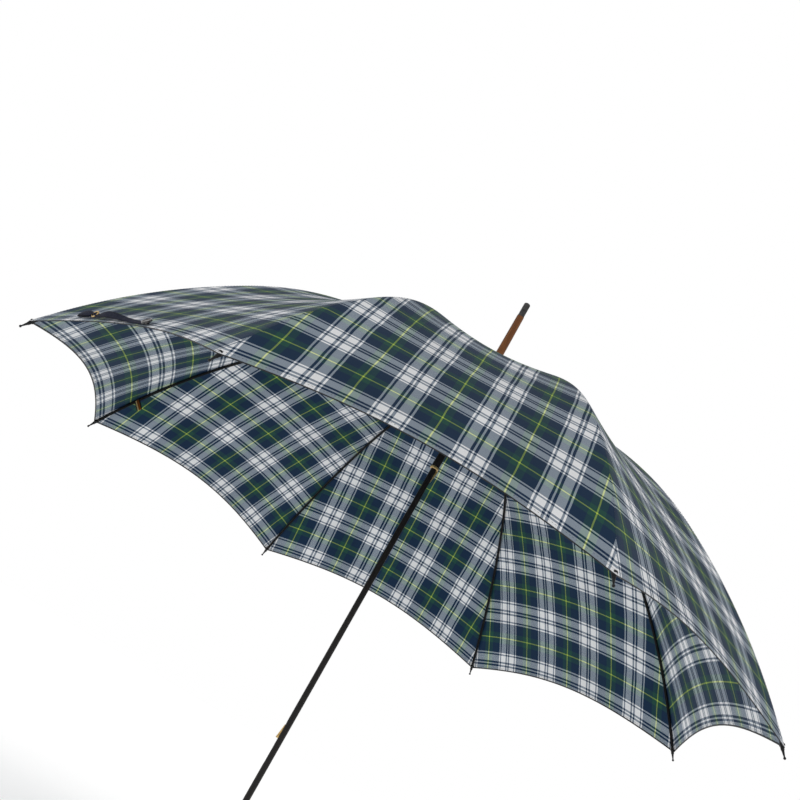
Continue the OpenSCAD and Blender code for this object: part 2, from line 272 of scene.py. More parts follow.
@dataclass(frozen=True)
class TartanCloth:
    """Fine twill woven in a green, navy and white check with thin yellow lines.

    The bands are listed from the yellow line to the middle of the white check, as widths in the warp.
    """

    name: str = "tartan_twill"
    yellow: tuple[float, float, float] = shade(192, 210, 78)
    green: tuple[float, float, float] = shade(36, 73, 65)
    navy: tuple[float, float, float] = shade(24, 46, 70)
    white: tuple[float, float, float] = shade(229, 230, 232)
    bands: tuple[tuple[str, float], ...] = (
        ("yellow", 0.7), ("green", 7.8), ("navy", 15.4), ("white", 2.0),
        ("navy", 2.4), ("white", 9.9), ("navy", 2.9), ("white", 1.1))
    weft_share: float = 1.084
    weft_from: float = 47.1
    twill_pitch: float = 1.1
    twill_depth: float = 0.17

    def threads(self, graph: Graph, along: Socket, repeat: float) -> Socket:
        """Colours one set of threads.

        Args:
            graph: the material's nodes.
            along: distance across the threads, in millimetres.
            repeat: half the width of the check, in millimetres.

        Returns:
            The threads' colour, as screen shares.
        """
        total = sum(width for _, width in self.bands)
        place, stops = 0.0, []
        for name, width in self.bands:
            stops.append((place / total, getattr(self, name)))
            place += width
        folded = graph.math("DIVIDE", graph.math("PINGPONG", along, repeat), repeat)
        return graph.ramp(folded, stops, banded=True)

    def make(self) -> Material:
        """Builds the material from the piece's weave map, whose unit is the metre."""
        graph = Graph(self.name)
        weave, across, along = graph.uv("weave")
        half = sum(width for _, width in self.bands)
        u = graph.math("MULTIPLY", across, 1000.0)
        v = graph.math("MULTIPLY", along, 1000.0)
        wander = graph.noise(graph.scaled(weave, (16, 16, 16)), 1.0, 2.0)
        u_drift = graph.math("ADD", u, graph.spread(wander, 0.3, 0.7, -0.5, 0.5))
        warp = self.threads(graph, u_drift, half)
        weft = self.threads(graph, graph.math("SUBTRACT", v, self.weft_from), half * self.weft_share)
        slant = graph.math("DIVIDE", graph.math("ADD", u, v), self.twill_pitch)
        ridge = graph.math("MULTIPLY", graph.math("PINGPONG", slant, 0.5), 2.0)
        over = graph.spread(ridge, 0.25, 0.75, 0.5 - self.twill_depth, 0.5 + self.twill_depth)
        woven = graph.mix(over, warp, weft)
        gamma = graph.nodes.new("ShaderNodeGamma")
        graph.link(woven, gamma.inputs["Color"])
        gamma.inputs["Gamma"].default_value = 2.2
        fleck = graph.noise(graph.scaled(weave, (2200, 700, 1)), 1.0, 2.0)
        cloudy = graph.noise(graph.scaled(weave, (9, 6, 1)), 1.0, 3.0)
        tone = graph.math("ADD", graph.spread(fleck, 0.25, 0.75, -0.09, 0.09),
                          graph.spread(cloudy, 0.3, 0.7, 0.93, 1.05))
        colour = graph.mix(1.0, gamma.outputs["Color"], graph.grey(tone), "MULTIPLY")
        pull = graph.noise(graph.scaled(weave, (26, 5, 1)), 1.0, 2.0)
        relief = graph.bump(pull, 0.0012, 0.35)
        relief = graph.bump(graph.plus(ridge, fleck, 0.5), 0.00009, 0.5, relief)
        rough = graph.spread(fleck, 0.3, 0.7, 0.55, 0.7)
        return graph.finish(colour, rough, relief, Sheen_Weight=0.03, Sheen_Roughness=0.4,
                            Specular_IOR_Level=0.1)


@dataclass(frozen=True)
class RibbedTape:
    """Narrow woven tape with fine cross ribs; its weave map runs across and along in metres.

    The bands are places from one edge of the tape to the other, each with the colour that starts there.
    """

    name: str
    bands: tuple[tuple[float, tuple[float, float, float]], ...]
    width: float = 10.0
    rib_pitch: float = 0.9
    sheen: float = 0.05

    def make(self) -> Material:
        """Builds the material."""
        graph = Graph(self.name)
        weave, across, along = graph.uv("weave")
        place = graph.math("ADD", graph.math("MULTIPLY", across, 1000.0 / self.width), 0.5)
        bands = graph.ramp(place, self.bands, banded=True)
        pitches = graph.math("DIVIDE", graph.math("MULTIPLY", along, 1000.0), self.rib_pitch)
        rib = graph.math("PINGPONG", pitches, 0.5)
        fibre = graph.noise(graph.scaled(weave, (2600, 900, 1)), 1.0, 2.0)
        worn = graph.noise(graph.scaled(weave, (120, 60, 1)), 1.0, 3.0)
        # The tone darkens in each rib's valley as painted shade between the ribs, with random fibre tone on
        # top.
        dark = graph.spread(graph.plus(rib, fibre, 0.4), 0.1, 0.6, 0.55, 1.15)
        tone = graph.math("MULTIPLY", dark, graph.spread(worn, 0.3, 0.7, 0.85, 1.15))
        colour = graph.mix(1.0, bands, graph.grey(tone), "MULTIPLY")
        relief = graph.bump(graph.plus(rib, fibre, 0.3), 0.00025, 0.8)
        return graph.finish(colour, graph.spread(fibre, 0.3, 0.7, 0.5, 0.75), relief, Sheen_Weight=self.sheen,
                            Specular_IOR_Level=0.1)


@dataclass(frozen=True)
class SewingThread:
    """Twisted sewing thread."""

    name: str
    colour: tuple[float, float, float]

    def make(self) -> Material:
        """Builds the material."""
        graph = Graph(self.name)
        place = graph.place()
        twist = graph.noise(graph.scaled(place, (1, 1, 1)), 2600.0, 2.0)
        dark = tuple(c * 0.5 for c in self.colour)
        colour = graph.ramp(twist, [(0.3, dark), (0.7, self.colour)])
        return graph.finish(colour, graph.spread(twist, 0.3, 0.7, 0.45, 0.7), graph.bump(twist, 0.0001, 0.6))


@dataclass(frozen=True)
class OiledWood:
    """Chestnut-coloured wood with long grain, pores and a soft varnish."""

    name: str
    dark: tuple[float, float, float]
    middle: tuple[float, float, float]
    pale: tuple[float, float, float]
    mapped: bool = False
    gloss: float = 0.5

    def make(self) -> Material:
        """Builds the material; the grain runs up Z, or along a mapped piece."""
        graph = Graph(self.name)
        source = graph.uv("grain")[0] if self.mapped else graph.place()
        long = (1.0, 0.045, 1.0) if self.mapped else (1.0, 1.0, 0.045)
        stretched = graph.scaled(source, long)
        bands = graph.noise(stretched, 240.0, 4.0, 0.6)
        pores = graph.noise(stretched, 1500.0, 2.0, 0.5)
        patches = graph.noise(graph.scaled(source, (1, 0.3, 1) if self.mapped else (1, 1, 0.3)), 45.0, 2.0)
        grain = graph.plus(graph.math("MULTIPLY", bands, 0.75), patches, 0.25)
        colour = graph.ramp(grain, [(0.34, self.dark), (0.47, self.middle), (0.62, self.pale)])
        pitted = graph.spread(pores, 0.56, 0.68, 0.0, 0.55)
        colour = graph.mix(pitted, colour, tuple(c * 0.35 for c in self.dark))
        relief = graph.bump(graph.plus(bands, pores, -0.5), 0.0001, 0.35)
        rough = graph.spread(patches, 0.3, 0.7, 0.28, 0.45)
        return graph.finish(colour, rough, relief, Coat_Weight=self.gloss, Coat_Roughness=0.12,
                            Specular_IOR_Level=self.gloss)


@dataclass(frozen=True)
class Metal:
    """Metal with fine scratches and duller patches."""

    name: str
    bright: tuple[float, float, float]
    dull: tuple[float, float, float]
    metallic: float = 1.0
    smooth: float = 0.22
    matt: float = 0.45
    coat: float = 0.0
    scratch: float = 0.00004
    specular: float = 0.5

    def make(self) -> Material:
        """Builds the material."""
        graph = Graph(self.name)
        place = graph.place()
        patches = graph.noise(place, 160.0, 4.0, 0.6)
        lines = graph.noise(graph.scaled(place, (1, 1, 0.08)), 2400.0, 2.0)
        colour = graph.ramp(patches, [(0.36, self.dull), (0.62, self.bright)])
        wear = graph.spread(lines, 0.6, 0.72, 0.0, 0.35)
        colour = graph.mix(wear, colour, tuple(min(1.0, c * 1.6 + 0.01) for c in self.bright))
        uneven = graph.plus(graph.math("MULTIPLY", patches, 0.7), lines, 0.3)
        rough = graph.spread(uneven, 0.35, 0.65, self.matt, self.smooth)
        return graph.finish(colour, rough, graph.bump(lines, self.scratch, 0.5), Metallic=self.metallic,
                            Coat_Weight=self.coat, Coat_Roughness=0.1, Specular_IOR_Level=self.specular)


@dataclass(frozen=True)
class HornButton:
    """Polished dark horn with paler streaks."""

    name: str = "dark_horn"

    def make(self) -> Material:
        """Builds the material."""
        graph = Graph(self.name)
        place = graph.place()
        streaks = graph.noise(graph.scaled(place, (1.0, 0.25, 1.0)), 420.0, 4.0, 0.6)
        colour = graph.ramp(streaks, [(0.4, (0.006, 0.006, 0.008)), (0.6, (0.02, 0.018, 0.018)),
                                      (0.75, (0.09, 0.075, 0.06))])
        rough = graph.spread(streaks, 0.3, 0.7, 0.18, 0.32)
        return graph.finish(colour, rough, graph.bump(streaks, 0.00004, 0.4), Coat_Weight=0.6,
                            Coat_Roughness=0.08)


@dataclass(frozen=True)
class StudioPaper:
    """Pale matt floor that glows a little, so that it melts into the room."""

    name: str = "studio_paper"
    glow: float = 0.36

    def make(self) -> Material:
        """Builds the material."""
        graph = Graph(self.name)
        mottle = graph.noise(graph.place(), 3.0, 2.0)
        colour = graph.ramp(mottle, [(0.3, (0.93, 0.93, 0.93)), (0.7, (0.95, 0.95, 0.95))])
        return graph.finish(colour, 0.9, Emission_Color=(1, 1, 1, 1), Emission_Strength=self.glow)


def made(finish: type, *values: object, **settings: object) -> Material:
    """Gives a field that starts as the material of a finish with these settings."""
    return field(default_factory=lambda: finish(*values, **settings).make())


@dataclass
class Finishes:
    """Every material of the umbrella, made once."""

    tartan: Material = made(TartanCloth)
    tape: Material = made(
        RibbedTape, "navy_tape",
        ((0.0, light(shade(11, 14, 27))), (0.12, light(shade(16, 22, 44))), (0.88, light(shade(11, 14, 27)))),
        width=11.0, sheen=0.0)
    label: Material = made(
        RibbedTape, "striped_label",
        ((0.0, light(shade(24, 18, 14))), (0.16, light(shade(186, 166, 120))),
         (0.38, light(shade(112, 62, 22))), (0.84, light(shade(24, 18, 14)))),
        width=8.0, rib_pitch=0.7)
    # Dark thread for the stitches and ties; the same finish paints the shade strip under each hem.
    dark_thread_and_hem_shade: Material = made(SewingThread, "dark_thread_and_hem_shade", light(shade(14, 17, 22)))
    handle_wood: Material = made(
        OiledWood, "handle_wood", light(shade(78, 40, 18)), light(shade(124, 68, 32)),
        light(shade(158, 96, 50)), mapped=True)
    spike_wood: Material = made(
        OiledWood, "spike_wood", light(shade(66, 32, 6)), light(shade(112, 64, 22)),
        light(shade(146, 92, 40)), gloss=0.2)
    lacquer: Material = made(
        Metal, "dark_lacquer", (0.0075, 0.0052, 0.0045), (0.0045, 0.0032, 0.003),
        metallic=0.0, smooth=0.28, matt=0.4, coat=0.15, specular=0.2)
    rib_paint: Material = made(
        Metal, "black_rib_paint", (0.007, 0.007, 0.008), (0.004, 0.004, 0.0045),
        metallic=0.0, smooth=0.35, matt=0.5, specular=0.25)
    dark_metal: Material = made(Metal, "gunmetal", (0.075, 0.073, 0.072), (0.03, 0.03, 0.031), metallic=0.9)
    brass: Material = made(Metal, "old_brass", (0.76, 0.54, 0.24), (0.42, 0.27, 0.1))
    wire: Material = made(Metal, "zinc_wire", (0.5, 0.5, 0.49), (0.26, 0.26, 0.26))
    horn: Material = made(HornButton)


# ---------------------------------------------------------------- making pieces


def select_none() -> None:
    """Deselects every object."""
    for other in bpy.context.view_layer.objects:
        other.select_set(False)


def select_only(piece: bpy.types.Object) -> None:
    """Selects one object and makes it the active one."""
    select_none()
    piece.select_set(True)
    bpy.context.view_layer.objects.active = piece


def apply_modifiers(piece: bpy.types.Object) -> None:
    """Applies every modifier of a piece, in order."""
    select_only(piece)
    for modifier in list(piece.modifiers):
        bpy.ops.object.modifier_apply(modifier=modifier.name)


def smooth(piece: bpy.types.Object, degrees: float = 35.0) -> None:
    """Shades a piece smooth, with edges sharper than an angle left crisp."""
    select_only(piece)
    bpy.ops.object.shade_smooth_by_angle(angle=math.radians(degrees))


def mesh_piece(name: str, points: np.ndarray, faces: Sequence[Sequence[int]], material: Material,
               weave: np.ndarray | None = None) -> bpy.types.Object:
    """Makes a piece from points and faces.

    Args:
        name: the piece's name.
        points: rows of x, y, z in metres.
        faces: point numbers of each face, anticlockwise from outside.
        material: its finish.
        weave: one row of UV values for each point, in metres.

    Returns:
        The new object.
    """
    mesh = bpy.data.meshes.new(name)
    mesh.from_pydata([tuple(p) for p in points], [], [tuple(f) for f in faces])
    if weave is not None:
        layer = mesh.uv_layers.new(name="weave")
        corners = np.empty(len(mesh.loops), int)
        mesh.loops.foreach_get("vertex_index", corners)
        layer.data.foreach_set("uv", np.asarray(weave, float)[corners].ravel())
    mesh.materials.append(material)
    piece = bpy.data.objects.new(name, mesh)
    bpy.context.collection.objects.link(piece)
    return piece


def grid_faces(rows: int, columns: int, flip: bool = False) -> list[tuple[int, int, int, int]]:
    """Lists the faces of a grid of rows by columns of points."""
    faces = []
    for i in range(rows - 1):
        for j in range(columns - 1):
            a = i * columns + j
            face = (a, a + 1, a + columns + 1, a + columns)
            faces.append(face[::-1] if flip else face)
    return faces


def unit(vectors: np.ndarray) -> np.ndarray:
    """Scales each row to length one."""
    return vectors / np.maximum(np.linalg.norm(vectors, axis=-1, keepdims=True), 1e-12)


def run_along(path: np.ndarray) -> np.ndarray:
    """Gives the distance along a path at each of its points."""
    return np.concatenate([[0], np.cumsum(np.linalg.norm(np.diff(path, axis=0), axis=1))])


def swept(path: np.ndarray, out: np.ndarray, wide: Sequence[float] | float, thick: Sequence[float] | float,
          sides: int = 10) -> tuple[np.ndarray, list[tuple[int, ...]], np.ndarray]:
    """Sweeps a flat oval along a path.

    Args:
        path: rows of points.
        out: the direction of the oval's short axis at each point.
        wide: the oval's whole width at each point.
        thick: the oval's whole thickness at each point.
        sides: points round the oval.

    Returns:
        The points, the faces with closed ends, and a weave map of across and along.
    """
    count = len(path)
    ahead = unit(np.gradient(path, axis=0))
    out = unit(out - (out * ahead).sum(1, keepdims=True) * ahead)
    across = np.cross(ahead, out)
    wide, thick = np.broadcast_to(wide, count), np.broadcast_to(thick, count)
    turns = np.linspace(0, 2 * math.pi, sides, endpoint=False)
    shape_x = np.sign(np.cos(turns)) * np.abs(np.cos(turns)) ** 0.6
    shape_y = np.sign(np.sin(turns)) * np.abs(np.sin(turns)) ** 0.6
    points = (path[:, None] + across[:, None] * (wide[:, None] / 2 * shape_x)[..., None]
              + out[:, None] * (thick[:, None] / 2 * shape_y)[..., None])
    run = run_along(path)
    weave = np.stack([wide[:, None] / 2 * shape_x, np.repeat(run[:, None], sides, 1)], -1).reshape(-1, 2)
    faces: list[tuple[int, ...]] = []
    for i in range(count - 1):
        for j in range(sides):
            a, b = i * sides + j, i * sides + (j + 1) % sides
            faces.append((a, b, b + sides, a + sides))
    faces.append(tuple(range(sides))[::-1])
    faces.append(tuple(range((count - 1) * sides, count * sides)))
    return points.reshape(-1, 3), faces, weave


@dataclass(frozen=True)
class Stitch:
    """One stitch: its length, the gap after it, its thread and how far its middle stands out. Metres."""

    length: float
    gap: float
    thick: float
    rise: float


HEM_STITCH = Stitch(0.0026, 0.0012, 0.00045, 0.00012)
SEAM_STITCH = Stitch(0.0024, 0.0014, 0.00042, 0.0001)


def stitches(path: np.ndarray, out: np.ndarray, stitch: Stitch) -> Shape:
    """Lays a row of stitches along a path.

    Args:
        path: rows of points.
        out: the outward direction at each point.
        stitch: the sizes of one stitch.

    Returns:
        The points and the faces.
    """
    run = run_along(path)
    starts = np.arange(stitch.gap, run[-1] - stitch.length, stitch.length + stitch.gap)

    def at(distance: np.ndarray, rows: np.ndarray) -> np.ndarray:
        """Gives the rows' values at distances along the path."""
        return np.stack([np.interp(distance, run, rows[:, i]) for i in range(3)], -1)

    begin, end = at(starts, path), at(starts + stitch.length, path)
    up = unit(at(starts + stitch.length / 2, out))
    side = unit(np.cross(end - begin, up)) * stitch.thick / 2
    top = up * stitch.thick / 2
    middle = at(starts + stitch.length / 2, path) + up * stitch.rise
    ring = np.stack([middle + side, middle + top, middle - side, middle - top], 1)
    points = np.concatenate([begin[:, None], ring, end[:, None]], 1).reshape(-1, 3)
    faces: list[tuple[int, ...]] = []
    for s in range(len(starts)):
        a = s * 6
        for j in range(4):
            p, q = a + 1 + j, a + 1 + (j + 1) % 4
            faces += [(a, q, p), (a + 5, p, q)]
    return points, faces


def joined(parts: Iterable[Shape]) -> Shape:
    """Puts several sets of points and faces into one."""
    points, faces, count = [], [], 0
    for some, loops in parts:
        points.append(some)
        faces += [tuple(i + count for i in loop) for loop in loops]
        count += len(some)
    return np.concatenate(points), faces


def turned(points: np.ndarray, degrees: float) -> np.ndarray:
    """Turns points about the shaft."""
    c, s = math.cos(math.radians(degrees)), math.sin(math.radians(degrees))
    return points @ np.array([[c, s, 0], [-s, c, 0], [0, 0, 1]])


# ---------------------------------------------------------------- the canopy


@dataclass(frozen=True)
class CanopyForm:
    """The open canopy's shape: the rib line and the cloth stretched between two ribs. Metres and degrees."""

    hub: float = 0.682
    root_radius: float = 0.007
    root_slope: float = 2.85
    straight: float = 0.116
    shoulder_radius: float = 0.390
    shoulder: float = 0.225
    outer_radius: float = 0.864
    rib: float = RIB_LENGTH
    hem: float = 0.62357
    scallop: float = 0.05
    sag: float = 0.011
    sag_in: float = 0.4
    sag_down: float = 0.9
    half: float = 22.5
    lift: float = 0.0030
    cloth: float = 0.0004

    def slope(self, s: np.ndarray | float) -> np.ndarray:
        """Gives the rib line's slope in radians at a distance along it."""
        s = np.asarray(s, float)
        return (math.radians(self.root_slope)
                + np.clip(s - self.straight, 0, self.shoulder) / self.shoulder_radius
                + np.maximum(s - self.straight - self.shoulder, 0) / self.outer_radius)

    def line(self, s: np.ndarray | float) -> tuple[np.ndarray, np.ndarray]:
        """Gives the rib line's radius and height at a distance along it."""
        s = np.asarray(s, float)
        a = math.radians(self.root_slope)
        b = a + np.clip(s - self.straight, 0, self.shoulder) / self.shoulder_radius
        c = self.slope(s)
        first = np.minimum(s, self.straight)
        radius = (self.root_radius + first * math.cos(a) + self.shoulder_radius * (np.sin(b) - math.sin(a))
                  + self.outer_radius * (np.sin(c) - np.sin(b)))
        height = (self.hub - first * math.sin(a) - self.shoulder_radius * (math.cos(a) - np.cos(b))
                  - self.outer_radius * (np.cos(b) - np.cos(c)))
        return radius, height

    def rib_place(self, s: float) -> tuple[np.ndarray, np.ndarray, np.ndarray]:
        """Gives the rib line's point, its direction and its outward direction, for a rib over +X."""
        radius, height = (float(v) for v in self.line(s))
        slope = float(self.slope(s))
        return (np.array([radius, 0, height]), np.array([math.cos(slope), 0, -math.sin(slope)]),
                np.array([math.sin(slope), 0, math.cos(slope)]))

    def rib_distance(self, t: np.ndarray, w: np.ndarray) -> np.ndarray:
        """Gives the distance down the ribs of cloth points, with the hem cut back between the ribs."""
        return self.hem * t * (1 - self.scallop * (1 - w * w) * t * t)

    def middle_run(self, s: np.ndarray) -> np.ndarray:
        """Gives the distance down the middle of a panel that matches a distance along its ribs."""
        steps = np.linspace(0, self.rib, 3000)
        radius, height = self.line(steps)
        inward = np.diff(radius) * math.cos(math.radians(self.half))
        run = np.concatenate([[0], np.cumsum(np.hypot(inward, np.diff(height)))])
        return np.interp(s, steps, run)

    def point(self, t: np.ndarray, w: np.ndarray, lift: np.ndarray | float) -> np.ndarray:
        """Gives points of the cloth, with the panel's middle over +X.

        Args:
            t: from 0 at the crown to 1 at the hem.
            w: from -1 at one rib to 1 at the other.
            lift: distance outwards from the rib line.

        Returns:
            Points, with x, y and z last.
        """
        s = self.rib_distance(t, w)
        radius, height = self.line(s)
        slope = self.slope(s)
        dip = self.sag * (1 - w * w) * np.sin(math.pi * np.clip(t, 0, 1))
        turn = np.radians(w * self.half)
        flat = radius * math.cos(math.radians(self.half)) / np.cos(turn)
        r = flat - self.sag_in * dip + lift * np.sin(slope)
        z = height - self.sag_down * dip + lift * np.cos(slope)
        return np.stack([r * np.cos(turn), r * np.sin(turn), z], -1)

    def out(self, t: np.ndarray, w: np.ndarray) -> np.ndarray:
        """Gives the outward direction of the cloth at its points."""
        step = 1e-3
        down = self.point(t + step, w, 0.0) - self.point(t - step, w, 0.0)
        along = self.point(t, w + step, 0.0) - self.point(t, w - step, 0.0)
        return unit(np.cross(down, along))


def rib_angle(k: int) -> float:
    """Gives a rib's direction round the shaft, in degrees."""
    return 180.0 - (k - 1) * 45.0


@dataclass
class Canopy:
    """Eight panels of cloth, each in two halves that go with the nearer rib, with their hems and seams."""

    form: CanopyForm
    finishes: Finishes
    rows: int = 72
    columns: int = 20
    arch: float = 0.047
    pinch: float = 0.0008
    pinch_width: float = 0.0022
    hem_wide: float = 0.0018
    hem_thick: float = 0.0011
    hem_under: float = 0.0007
    hem_row: float = 0.0042
    fold_tilt: float = 0.1
    fold_keep: float = 0.03
    fold_anchor: float = 0.020
    chord_slope: float = 28.6
    crown_gap: float = 0.005
    corner_fade: float = 0.04
    tie_back: float = 0.0155
    tie_turns: int = 4
    tie_long: float = 0.0022
    tie_wide: float = 0.0027
    tie_high: float = 0.0031
    tie_rise: float = 0.0007
    tie_thread: float = 0.0005

    def rib_of(self, k: int, side: Side) -> int:
        """Names the rib that a half panel is sewn to."""
        return k if side is Side.OWN else k % 8 + 1

    def fold(self, piece: bpy.types.Object, k: int, side: Side) -> None:
        """Makes a piece of a half panel go with its rib, with a mesh of its own."""
        rib = self.rib_of(k, side)
        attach(piece, f"rib_{rib}")
        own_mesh(piece)

    def half_panel(self, k: int, side: Side) -> bpy.types.Object:
        """Models the cloth of a half panel."""
        form = self.form
        t = np.linspace(self.crown_gap / form.hem, 1.0, self.rows)[:, None]
        w = (np.sin(np.linspace(0, math.pi / 2, self.columns)) * side.value)[None, :]
        t, w = np.broadcast_arrays(t, w)
        s = form.rib_distance(t, w)
        half_width = form.line(s)[0] * math.sin(math.radians(form.half))
        near = (1 - np.abs(w)) * half_width
        fade = np.clip((1 - t) / self.corner_fade, 0, 1)
        lift = form.lift - self.pinch * np.exp(-(near / self.pinch_width) ** 2) * fade
        points = form.point(t, w, lift)
        weave = np.stack([points[..., 1], form.middle_run(s) * (1 - self.arch * w * w)], -1)
        gore = rib_angle(k) - form.half
        piece = mesh_piece(f"panel_{k}_{side.name.lower()}", turned(points.reshape(-1, 3), gore),
                           grid_faces(self.rows, self.columns, flip=side is Side.NEXT), self.finishes.tartan,
                           weave.reshape(-1, 2))
        modifier = piece.modifiers.new("cloth", "SOLIDIFY")
        modifier.thickness, modifier.offset, modifier.use_even_offset = form.cloth, 0.0, False
        apply_modifiers(piece)
        smooth(piece)
        return piece

    def flat_area(self, side: Side) -> float:
        """Gives the area of a half panel's cut, measured on its open shape."""
        t, w = np.meshgrid(np.linspace(0.008, 1, 60), np.linspace(0, side.value, 20), indexing="ij")
        p = self.form.point(t, w, self.form.lift)
        a, b = p[1:, 1:] - p[:-1, :-1], p[1:, :-1] - p[:-1, 1:]
        return float(np.linalg.norm(np.cross(a, b), axis=-1).sum() / 2)

    def hem(self, k: int, side: Side) -> bpy.types.Object:
        """Models a thin dark strip along a half panel's hem edge, set a little to the inner side as painted
        shade under the folded hem, and the row of stitches above it.
        """
        form = self.form
        w = np.linspace(0, side.value, 44)
        t = np.ones_like(w)
        # The dark strip just inside the hem edge is painted shade of the folded hem, not a binding.
        edge = form.point(t, w, form.lift - self.hem_under)
        out = form.out(t, w)
        rows = [swept(edge, out, self.hem_wide, self.hem_thick, 8)[:2]]
        t_row = t - self.hem_row / form.hem
        path, up = form.point(t_row, w, form.lift), form.out(t_row, w)
        for way in (1, -1):
            rows.append(stitches(path + up * way * form.cloth / 2, up * way, HEM_STITCH))
        points, faces = joined(rows)
        piece = mesh_piece(f"hem_{k}_{side.name.lower()}", turned(points, rib_angle(k) - form.half), faces,
                           self.finishes.dark_thread_and_hem_shade)
        if side is Side.NEXT:
            self.face_out(piece)
        smooth(piece, 60)
        return piece

    @staticmethod
    def face_out(piece: bpy.types.Object) -> None:
        """Turns a closed piece's faces outwards."""
        select_only(piece)
        bpy.ops.object.mode_set(mode="EDIT")
        bpy.ops.mesh.select_all(action="SELECT")
        bpy.ops.mesh.normals_make_consistent(inside=False)
        bpy.ops.object.mode_set(mode="OBJECT")

    def seam(self, k: int) -> bpy.types.Object:
        """Models the seam over a rib: its row of stitches and the thread that ties the corner to the tip."""
        form = self.form
        t = np.linspace(0.03, 0.985, 160)
        s = form.hem * t
        radius, height = form.line(s)
        slope = form.slope(s)
        up = np.stack([np.sin(slope), np.zeros_like(s), np.cos(slope)], -1)
        lift = form.lift - self.pinch + form.cloth / 2
        path = np.stack([radius, np.zeros_like(s), height], -1) + up * lift
        parts = [stitches(path, up, SEAM_STITCH)]
        place, along, rise = form.rib_place(form.rib - self.tie_back)
        across = np.array([0.0, 1.0, 0.0])
        turns = np.linspace(0, 2 * math.pi * self.tie_turns, 24 * self.tie_turns + 1)
        coil = (place + along * (turns / turns[-1] * self.tie_long)[:, None]
                + across * (np.cos(turns) * self.tie_wide)[:, None]
                + rise * (np.sin(turns) * self.tie_high + self.tie_rise)[:, None])
        spread = across * np.cos(turns)[:, None] + rise * np.sin(turns)[:, None]
        parts.append(swept(coil, spread, self.tie_thread, self.tie_thread, 6)[:2])
        points, faces = joined(parts)
        piece = mesh_piece(f"seam_{k}", turned(points, rib_angle(k)), faces, self.finishes.dark_thread_and_hem_shade)
        self.face_out(piece)
        smooth(piece, 60)
        return piece

    def build(self) -> None:
        """Models every panel, hem and seam, and joins them to the frame."""
        for k in RIBS:
            for side in Side:
                hem = self.hem(k, side)
                self.fold(hem, k, side)
                panel = self.half_panel(k, side)
                self.fold(panel, k, side)
                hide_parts(f"gore_{k}")
                self.flat_area(side)
            seam = self.seam(k)
            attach(seam, f"rib_{k}")
            LOG.info("panel %d: two halves, two hems, one seam", k)


